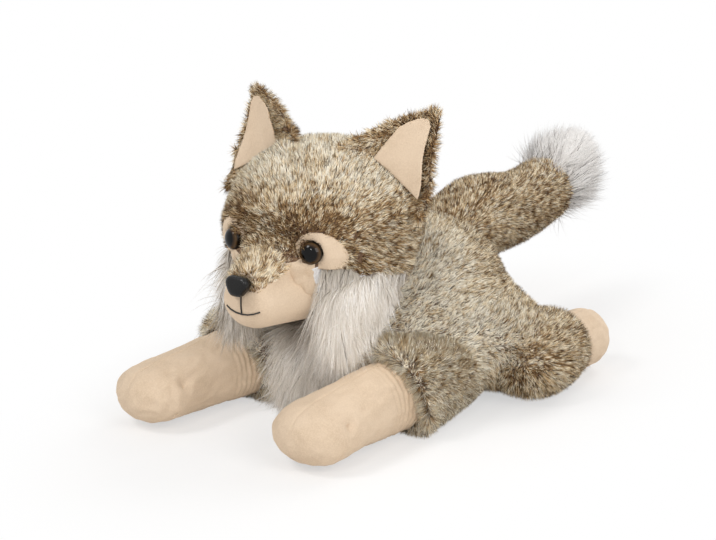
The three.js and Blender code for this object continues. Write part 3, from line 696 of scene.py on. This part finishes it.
muzzle = grouped("muzzle_velvet", ["muzzle_cover", "muzzle_stuffing", "snout_gusset"])
rounded(muzzle, voxel=0.003, relax=9)
points, normals, _ = read(muzzle)
strip = smoothstep(0.0, 0.004, above_snout_seam(points))
points -= normals * (STRIP_SINK * strip)[:, None]
give_room(muzzle, strip * room_above(points, normals, ["nose"]))
write(muzzle, points)
paint(muzzle, velvet)
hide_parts("muzzle_cover", "muzzle_stuffing")
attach(muzzle, "head")
fur = brush(
    "snout_fur", muzzle, frosted_fur, per_mm2=3.0, length=0.0075, width=0.0008, lean=(30, 60),
    comb=off_the_nose, seed=330,
    tone=lambda root, up, chance: 0.5 + 0.16 * lumps(root, 0.007, 70)[:, 0] + 0.32 * chance,
)
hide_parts("snout_gusset")
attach(fur, "head")
apply(muzzle, "SUBSURF", levels=1, render_levels=1)


# The nose: a button of moulded black plastic with a fine grain, softly glossy.
# Its shank goes through the end of the muzzle, and a lock washer inside holds it.
nose_black, wire = finish_of("nose_black")
pits = speckle(wire, 700.0)
pitted = wire.node("ShaderNodeBump", {}, {"Strength": 0.12, "Distance": 0.0004, "Height": pits})
coat(wire, {
    "Base Color": srgb(12, 11, 10), "Roughness": 0.2 + 0.12 * pits, "Specular IOR Level": 0.3,
    "Normal": pitted,
})
nose = grouped("nose_button", ["nose"])
rounded(nose, voxel=0.0012, relax=10)
apply(nose, "SUBSURF", levels=1, render_levels=1)
paint(nose, nose_black)
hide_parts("nose")
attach(nose, "head")


# The mouth: one black thread, sewn through the velvet down from the nose and along a smile.
# The stitches are drawn tight, so the thread lies a little thinner and closer than its solid.
THREAD_DRAWN = 0.0003
thread_black, wire = finish_of("thread_black")
twist = speckle(wire, 900.0)
coat(wire, {"Base Color": wire.mix(twist, srgb(14, 12, 11), srgb(34, 29, 26)), "Roughness": 0.6})
mouth = grouped("mouth_thread", ["mouth_stitch"])
points, normals, _ = read(mouth)
write(mouth, points - THREAD_DRAWN * normals)
mouth.data.shade_smooth()
paint(mouth, thread_black)
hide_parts("mouth_stitch")
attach(mouth, "head")


# The eyes: domes of clear plastic over a dark brown iris, each on a velvet patch let into the fur.
# A shank goes through the patch, and a lock washer of milky plastic inside the head holds it.
EYE_RADIUS, EYE_DEPTH = 0.009, 0.72
PATCH_FOOT, PATCH_SINK = 0.1405, 0.0006
washer_plastic, wire = finish_of("washer_plastic")
milk = wire.mix(speckle(wire, 300.0), srgb(228, 226, 216), srgb(244, 243, 236))
coat(wire, {"Base Color": milk, "Roughness": 0.45})
for node in ("nose_washer", "eye_washer_left", "eye_washer_right"):
    paint(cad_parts[node], washer_plastic)

for side, sign in SIDES:
    aim = Vector((0.33 * sign, -0.93, 0.1)).normalized()
    centre = Vector((0.037 * sign, -0.180, 0.154))
    turn = aim.to_track_quat("Z", "Y").to_euler()
    eye_gloss, wire = finish_of(f"eye_gloss_{side}")
    spot = wire.node("ShaderNodeTexCoord", {}, {}, out="Object")
    centred = wire.node("ShaderNodeMapping", {"vector_type": "TEXTURE"},
                        {"Vector": spot, "Location": centre, "Rotation": turn})
    flat = wire.node("ShaderNodeVectorMath", {"operation": "MULTIPLY"}, {0: centred, 1: (1, 1, 0)})
    radius = wire.node("ShaderNodeVectorMath", {"operation": "LENGTH"}, {0: flat}, out="Value")
    iris = wire.node("ShaderNodeValToRGB", {"stops": [
        (0.0, srgb(4, 4, 4)), (0.62, srgb(4, 4, 4)), (0.72, srgb(46, 31, 17)), (0.88, srgb(78, 57, 32)),
        (0.96, srgb(14, 11, 8)), (1.0, srgb(8, 7, 6)),
    ]}, {0: radius * (1 / EYE_RADIUS)})
    coat(wire, {"Base Color": iris, "Roughness": 0.06, "Specular IOR Level": 0.2})
    bpy.ops.mesh.primitive_uv_sphere_add(segments=48, ring_count=24, radius=EYE_RADIUS)
    eye = bpy.context.object
    eye.name = f"eye_dome_{side}"
    eye.scale = (1, 1, EYE_DEPTH)
    eye.rotation_euler = turn
    eye.location = centre
    bpy.ops.object.transform_apply(location=True, rotation=True, scale=True)
    eye.data.shade_smooth()
    paint(eye, eye_gloss)
    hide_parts(f"eye_{side}")
    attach(eye, "head")

    patch = grouped(f"eye_patch_velvet_{side}", [f"eye_patch_{side}"])
    trim(patch, (0, 0, PATCH_FOOT), (0, 0, -1))
    rounded(patch, voxel=0.0014, relax=5)
    points, _, _ = read(patch)
    write(patch, points - PATCH_SINK * np.array(aim))
    paint(patch, velvet)
    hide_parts(f"eye_patch_{side}")
    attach(patch, "head")


# The cheek ruffs: panels of long white fur along the lower sides of the head, hanging over the neck.
# Each has its own knitted backing, sewn in under the cheek line.
# The head's white cheek above it has the same fur, which hangs down over the ruff.
RUFF_NARROWS = 0.17
CHEEK_FUR_INNER = 0.0425


def hanging(root):
    """The ruff is longest beside the muzzle, and short towards the neck and over the shoulders."""
    short = 1 - 0.5 * smoothstep(0.038, 0.064, np.abs(root[:, 0]))
    return (1.0 - 0.5 * smoothstep(-0.16, -0.1, root[:, 1])) * short


for side, sign in SIDES:
    ruff = fur_backing(f"ruff_backing_{side}", [f"cheek_ruff_{side}"], ["muzzle_cover", "head_cover"],
                       voxel=0.003, sink=0.009)
    points, _, _ = read(ruff)
    points[:, 0] *= 1 - RUFF_NARROWS * smoothstep(-0.155, -0.105, points[:, 1])
    write(ruff, points)
    paint(ruff, white_backing)
    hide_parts(f"cheek_ruff_{side}")
    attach(ruff, "head")
    fur = brush(
        f"ruff_fur_{side}", ruff, white_fur, per_mm2=2.6, length=0.056, width=0.0006, lean=(72, 86),
        comb=combed(0.0, -0.15, -1), tone=white_tone, seed=340 + sign,
        segments=4, sag=0.9, curl=0.15, loose=0.3, shear=hanging,
    )
    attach(fur, "head")
    fur = brush(
        f"cheek_fur_{side}", head, white_fur, per_mm2=2.6, length=0.062, width=0.0006, lean=(64, 84),
        comb=combed(0.0, -0.1, -1), tone=white_tone, seed=345 + sign,
        segments=4, sag=1.0, curl=0.15, loose=0.3,
        shear=lambda root: hanging(root) * (white_cheek(root) & (root[:, 0] * sign > CHEEK_FUR_INNER)),
    )
    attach(fur, "head")


# The ears: cupped leaves of fur with a velvet lining, sewn into slits on top of the head.
# The lining is let in towards the outer edge, so a broad band of fur shows beside the crown.
EAR_HEIGHT, EAR_SPREAD = 0.0653, 0.014
LINING_INNER, LINING_AHEAD = 0.0145, 0.0010
LINING_NARROWER, LINING_SHORTER = 0.16, 0.09
BAND_WIDER, CUP_SINK = 0.007, 0.003
BARE_GAP, VELVET_GAP = 0.0024, 0.0012
for side, sign in SIDES:
    stem = np.array([0.056 * sign, -0.104, 0.204])
    rise = unit(np.array([0.034 * sign, 0.020, 0.052]))
    outward = sign * unit(np.cross([0, 1, 0], rise))
    ahead = sign * np.cross(outward, rise)

    def spread_out(points):
        """How far the outer edge's lower half is drawn out along the head."""
        across, height = (points - stem) @ outward, (points - stem) @ rise
        low = 1 - smoothstep(0.0, 0.045, height)
        return outward * (EAR_SPREAD * smoothstep(0.0, 0.025, across) * low)[:, None]

    lining = grouped(f"ear_velvet_{side}", [f"ear_lining_{side}"])
    trim(lining, stem - outward * LINING_INNER, -outward)
    rounded(lining, voxel=0.0009, relax=24)
    points, _, _ = read(lining)
    across, height = (points - stem) @ outward, (points - stem) @ rise
    points += spread_out(points) + ahead * LINING_AHEAD
    points -= outward * (LINING_NARROWER * across.clip(0))[:, None] + rise * (LINING_SHORTER * height)[:, None]
    write(lining, points)
    paint(lining, velvet)
    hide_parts(f"ear_lining_{side}")
    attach(lining, f"ear_{side}")

    ear = fur_backing(f"ear_backing_{side}", [f"ear_back_{side}", f"ear_lining_{side}"], ["head_cover"],
                      voxel=0.0025, relax=4, sink=0.0035)
    points, normals, _ = read(ear)
    across = (points - stem) @ outward
    height = (points - stem) @ rise / EAR_HEIGHT
    band = smoothstep(0.006, 0.024, -across) * (1 - smoothstep(0.4, 0.95, height))
    points += spread_out(points) - outward * (BAND_WIDER * band)[:, None]
    tree = BVHTree.FromPolygons(
        [v.co for v in lining.data.vertices], [p.vertices[:] for p in lining.data.polygons])
    gaps = np.array([tree.find_nearest(Vector(point))[3] for point in points])
    in_cup = normals @ ahead > 0
    points -= ahead * (CUP_SINK * (1 - smoothstep(0.003, 0.006, gaps)) * in_cup)[:, None]
    bare = (gaps < BARE_GAP) & in_cup
    lined = bare & (gaps < VELVET_GAP)
    give_room(ear, room_on(ear) * ~bare)
    write(ear, points)
    paint(ear, knit_backing)
    ear.data.materials.append(velvet)
    for face in ear.data.polygons:
        face.material_index = int(lined[list(face.vertices)].all())
    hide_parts(f"ear_back_{side}")
    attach(ear, f"ear_{side}")
    fur = brush(
        f"ear_fur_{side}", ear, frosted_fur, per_mm2=2.8, length=0.009, width=0.0008, lean=(20, 50),
        comb=lambda root, up: unit(root - stem - 0.03 * rise - 0.01 * outward) + np.array([0, 0.3, 0]),
        tone=lambda root, up, chance: 0.34 + 0.2 * lumps(root, 0.006, 80)[:, 0] + 0.3 * chance,
        seed=350 + sign,
    )
    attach(fur, f"ear_{side}")


# The tail: a stuffed tube of the frosted fur that swings at its root and ends in a brush of long white fur.
# Its root is drawn in and sewn to the rump over a small wad of stuffing.
TAIL_AXIS = 0.100
ROOT_THICKER, ROOT_HIGHER, ROOT_DEEPER = 0.004, 0.010, 0.024
wad = fur_backing("tail_root_backing", ["tail_root_wad"], ["tail_cover", "body_cover"], sink=0.0)
paint(wad, knit_backing)
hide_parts("tail_root_wad")
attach(wad, "tail_root")
tail = fur_backing("tail_backing", ["tail_cover", "tail_stuffing"], ["tail_tip"])
points, normals, _ = read(tail)
near_root = 1 - smoothstep(0.11, 0.20, points[:, 1])
tucked = 1 - smoothstep(0.07, 0.115, points[:, 1])
points += normals * (ROOT_THICKER * near_root)[:, None]
above = points[:, 2] - TAIL_AXIS
points[:, 2] += ROOT_HIGHER * near_root - 0.5 * tucked * above.clip(0)
points[:, 1] -= ROOT_DEEPER * (1 - smoothstep(0.07, 0.11, points[:, 1]))
write(tail, points)
paint(tail, knit_backing)
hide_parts("tail_cover", "tail_stuffing")
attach(tail, "tail")
fur = brush(
    "tail_fur", tail, frosted_fur, per_mm2=2.6, length=0.0070, width=0.0008, lean=(8, 42),
    comb=combed(0, 1, 0.1), tone=body_tone, seed=410,
)
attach(fur, "tail")

# The tail tip's white fur is the same fur, without the grey that is painted as shade into the bib's and ruffs'
# fur.
snow_fur = fur_finish("snow_fur", srgb(206, 200, 194), srgb(224, 220, 216), [
    (0.0, srgb(218, 213, 208)),
    (1.0, srgb(242, 240, 238)),
], 0.6)
tip = fur_backing("tail_tip_backing", ["tail_tip"], ["tail_cover"], voxel=0.004, sink=0.009)
paint(tip, white_backing)
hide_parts("tail_tip")
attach(tip, "tail")
fur = brush(
    "tail_tip_fur", tip, snow_fur, per_mm2=2.4, length=0.040, width=0.0006, lean=(34, 70),
    comb=combed(0, 1, 0.45), tone=white_tone, seed=420, segments=4, curl=0.3,
    shear=lambda root: 1 - 0.45 * smoothstep(0.25, 0.3, root[:, 1]),
)
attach(fur, "tail")


# The front legs: fur sleeves sewn to the shoulders, with velvet paws set into their cuffs.
# A paw is stuffed tight, so its velvet swells between the cuff, the top seam and the darts beside the toes.
SLEEVE_AXIS, PAW_AXIS, WRINKLE_AXIS = np.array([0, 0, 0.031]), np.array([0, 0, 0.027]), 0.028
PAW_SLACK, PAW_SWELLS = 0.0025, 0.006
PAW_LIFT_LOOSE, PAW_LIFT = 0.0004, 0.0003
DART_OUT = 0.029
DART_PATH = ((0.0, 0.038), (0.006, 0.026), (0.012, 0.010))
SEWN_WIDTH, HEM_RADIUS = 0.004, 0.022
TOES_LONGER = 0.06
WRINKLE_DEPTH, WRINKLES_APART = 0.004, 0.0052
SEAM_DEPTH, SEAM_WIDTH = 0.0009, 0.0016
DART_DEPTH, DART_WIDTH = 0.0018, 0.0026
DIMPLE_DEPTH, DIMPLE_WIDTH = 0.003, 0.010
LUMP_DEPTH, LUMP_SIZE = 0.0007, 0.03
STUFFING_FRAMES = 20
FRONT_CUFF, FRONT_SPLAY = 0.068, {"left": -6, "right": 11}


def fur_sleeve(kind, paw_kind, side, root, heading, cuff, seed, press=1.0, slide=0.0, lip=0.0,
               slump=(0, 0, 0), flare=0.0, pale=0.36):
    """A leg's fur sleeve. Heading runs from the root to the paw, and cuff is the sleeve's length.
    It is pressed down, slides along the heading, slumps at the table, laps over the paw by its lip and widens
    there by its flare. Pale is the fur's mean tone."""
    end = root + heading * cuff
    sleeve = fur_backing(
        f"{kind}_backing_{side}", [f"{kind}_sleeve_{side}", f"{kind}_stuffing_{side}"],
        [f"{paw_kind}_{side}"], cuts=[(end, heading)],
    )
    points, _, _ = read(sleeve)
    points[:, 2] *= press
    along = (points - root) @ heading
    off_axis = points - root - heading * along[:, None] - SLEEVE_AXIS
    hem = smoothstep(cuff - 0.035, cuff - 0.004, along)
    points += off_axis * (flare * smoothstep(cuff - 0.075, cuff - 0.012, along))[:, None]
    points += heading * (slide + hem * lip * (1 + 20 * points[:, 2]))[:, None]
    points += np.array(slump) * ((1 - hem) * (1 - smoothstep(0.0, 0.07, points[:, 2])))[:, None]
    lift(points, BACKING_LIFT)
    round_hem = smoothstep(cuff - 0.06, cuff - 0.04, along) * (np.linalg.norm(off_axis, axis=1) > HEM_RADIUS)
    give_room(sleeve, np.maximum(room_on(sleeve), round_hem))
    write(sleeve, points)
    apply(sleeve, "SMOOTH", factor=0.5, iterations=6)
    paint(sleeve, knit_backing)
    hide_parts(f"{kind}_sleeve_{side}", f"{kind}_stuffing_{side}")
    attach(sleeve, f"{kind}_{side}")

    def flow(points, up):
        """A comb along the leg, and outwards on the hem."""
        spoke = points - root - SLEEVE_AXIS
        spoke -= heading * (spoke @ heading)[:, None]
        return heading + np.array([0, 0, -0.3]) + unit(spoke) * (2 * (up @ heading > 0.5))[:, None]

    fur = brush(
        f"{kind}_fur_{side}", sleeve, frosted_fur, per_mm2=2.7, length=0.0074, width=0.0008, lean=(8, 42),
        comb=flow, seed=seed,
        tone=lambda points, up, chance: pale + 0.1 * lumps(points, 0.010, 40)[:, 0] + 0.34 * chance,
        shear=lambda points: 1 + 0.5 * smoothstep(cuff - 0.02, cuff, (points - root) @ heading),
    )
    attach(fur, f"{kind}_{side}")


def groove(points, path, width):
    """1 on a line through the points of path, falling to 0 at width from it."""
    nearest = np.full(len(points), np.inf)
    for a, b in zip(path[:-1], path[1:]):
        share = np.clip(((points - a) @ (b - a)) / ((b - a) @ (b - a)), 0, 1)
        nearest = np.minimum(nearest, np.linalg.norm(points - a - share[:, None] * (b - a), axis=1))
    return 1 - smoothstep(0, width, nearest)


def inflated(obj, held, cap):
    """Blows a closed cloth skin up from inside, with the points sewn down that held picks.
    Cap is the furthest that a point may move."""
    points, _, _ = read(obj)
    seam = obj.vertex_groups.new(name="sewn")
    for i in np.flatnonzero(held):
        seam.add([int(i)], 1.0, "REPLACE")
    cloth = obj.modifiers.new("stuffing", "CLOTH")
    cloth.settings.use_pressure = True
    cloth.settings.uniform_pressure_force = 4
    cloth.settings.vertex_group_mass = "sewn"
    cloth.settings.mass = 0.0001
    cloth.settings.quality = 5
    cloth.settings.tension_stiffness = 0.1
    cloth.settings.compression_stiffness = 0.1
    cloth.settings.shear_stiffness = 0.1
    cloth.settings.bending_stiffness = 0.02
    cloth.settings.effector_weights.gravity = 0
    cloth.point_cache.frame_start, cloth.point_cache.frame_end = 1, STUFFING_FRAMES
    for step in range(1, STUFFING_FRAMES + 1):
        bpy.context.scene.frame_set(step)
    blown = obj.evaluated_get(bpy.context.evaluated_depsgraph_get()).data
    moved = np.empty(len(points) * 3)
    blown.vertices.foreach_get("co", moved)
    shift = moved.reshape(-1, 3) - points
    far = np.linalg.norm(shift, axis=1, keepdims=True)
    points += shift * np.minimum(1, cap / np.maximum(far, 1e-9))
    obj.modifiers.remove(cloth)
    obj.vertex_groups.remove(seam)
    write(obj, points)
    bpy.context.scene.frame_set(1)


def velvet_paw(kind, paw_kind, side, root, heading, cuff, inset, dart, toe, seed, throat=0.05, tall=1.0,
               swell=0.0):
    """A leg's velvet paw. Inset is how deep it sits in the cuff, and throat is how wide it is there.
    Dart and toe are how far from the root the darts and the tip of the toes lie.
    Tall raises the paw's back, and swell rounds its toes and rings it with wrinkles at the cuff."""
    across = np.array([-heading[1], heading[0], 0])
    end = root + heading * cuff
    paw = grouped(f"{paw_kind}_velvet_{side}", [f"{paw_kind}_{side}", f"{kind}_stuffing_{side}"])
    trim(paw, end - heading * inset, -heading)
    rounded(paw, voxel=0.004, relax=8)
    points, normals, _ = read(paw)
    points -= normals * PAW_SLACK
    along = (points - root) @ heading
    spoke = points - root - heading * along[:, None] - PAW_AXIS
    wide = np.maximum(np.linalg.norm(spoke, axis=1) / throat, 1)
    points -= spoke * ((1 - 1 / wide) * (1 - smoothstep(cuff, cuff + 0.012, along)))[:, None]
    toes = smoothstep(dart - 0.035, dart + 0.01, along)
    points[:, 2] *= 1 + (tall - 1) * (1 - 0.5 * toes) + swell * toes
    sideways = (points - root) @ across * swell * toes
    points += across * sideways[:, None] + heading * (TOES_LONGER * swell * toes)[:, None]
    lift(points, PAW_LIFT_LOOSE)
    write(paw, points)
    darts = [
        np.array([root + heading * (dart + on) + across * (out * DART_OUT) + [0, 0, level]
                  for on, level in DART_PATH])
        for out in (-1, 1)
    ]
    in_cuff = (points - end) @ heading < SEWN_WIDTH
    sewn = in_cuff | (sum(groove(points, path, SEWN_WIDTH) for path in darts) > 0.3)
    inflated(paw, sewn, PAW_SWELLS)
    apply(paw, "SUBSURF", levels=2, render_levels=2)

    points, normals, _ = read(paw)
    along = (points - root) @ heading
    angle = np.arctan2((points - root) @ across, points[:, 2] - WRINKLE_AXIS)
    ripple = lumps(np.stack([along * 0.5, angle * 0.012, 0 * angle], axis=1), 0.006, seed)[:, 0]
    rings = np.sin((along - cuff) * (2 * math.pi / WRINKLES_APART) + 1.6 * ripple)
    near_cuff = 1 - smoothstep(0.014, 0.04, along - cuff)
    shift = WRINKLE_DEPTH * swell * rings * near_cuff
    top_seam = np.array([end, root + heading * dart, root + heading * toe])
    upper = smoothstep(0.2, 0.6, normals[:, 2])
    shift -= SEAM_DEPTH * upper * groove(points * [1, 1, 0], top_seam, SEAM_WIDTH)
    for path in darts:
        dimple = path[[0, 0]] + [[0, 0, 0], [0, 0, 1e-4]]
        pulled = DIMPLE_DEPTH * groove(points, dimple, DIMPLE_WIDTH)
        shift -= DART_DEPTH * groove(points, path, DART_WIDTH) + pulled
    shift += LUMP_DEPTH * lumps(points, LUMP_SIZE, seed + 7)[:, 0]
    points += normals * shift[:, None]
    lift(points, PAW_LIFT)
    paw.data.shade_smooth()
    write(paw, points)
    paint(paw, velvet)
    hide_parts(f"{paw_kind}_{side}")
    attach(paw, f"{kind}_{side}")


for side, sign in SIDES:
    out = math.radians(FRONT_SPLAY[side])
    root = SHOULDERS[side] * [1, 1, 0]
    heading = unit(np.array([sign * math.sin(out), -math.cos(out), 0]))
    # Pale=0.78 makes the front sleeves paler than the haunches: painted light on fur that faces down into the
    # shade under the ruff.
    fur_sleeve("front_leg", "front_paw", side, root, heading, FRONT_CUFF, seed=500 + sign,
               lip=0.008, flare=0.28, pale=0.78)
    velvet_paw("front_leg", "front_paw", side, root, heading, FRONT_CUFF, inset=0.016, dart=0.154, toe=0.186,
               seed=500 + sign, tall=1.14, swell=0.12)


# The hind legs: round haunches of fur sewn to the hips and stretched out behind, with velvet feet.
# They are made as the front legs are, but the haunch is pressed down and the foot sits deep in a narrow cuff.
HIND_CUFF, HIND_SPLAY = 0.050, 3
for side, sign in SIDES:
    out = math.radians(HIND_SPLAY)
    root = HIPS[side] * [1, 1, 0]
    heading = unit(np.array([sign * math.sin(out), math.cos(out), 0]))
    fur_sleeve("hind_leg", "hind_foot", side, root, heading, HIND_CUFF, seed=520 + sign, press=HAUNCH_PRESS,
               slide=-0.002, slump=(0.008 * sign, -0.008, 0), flare=-0.08, lip=0.001)
    velvet_paw("hind_leg", "hind_foot", side, root, heading, HIND_CUFF, inset=0.018, dart=0.086, toe=0.110,
               seed=520 + sign, throat=0.025)
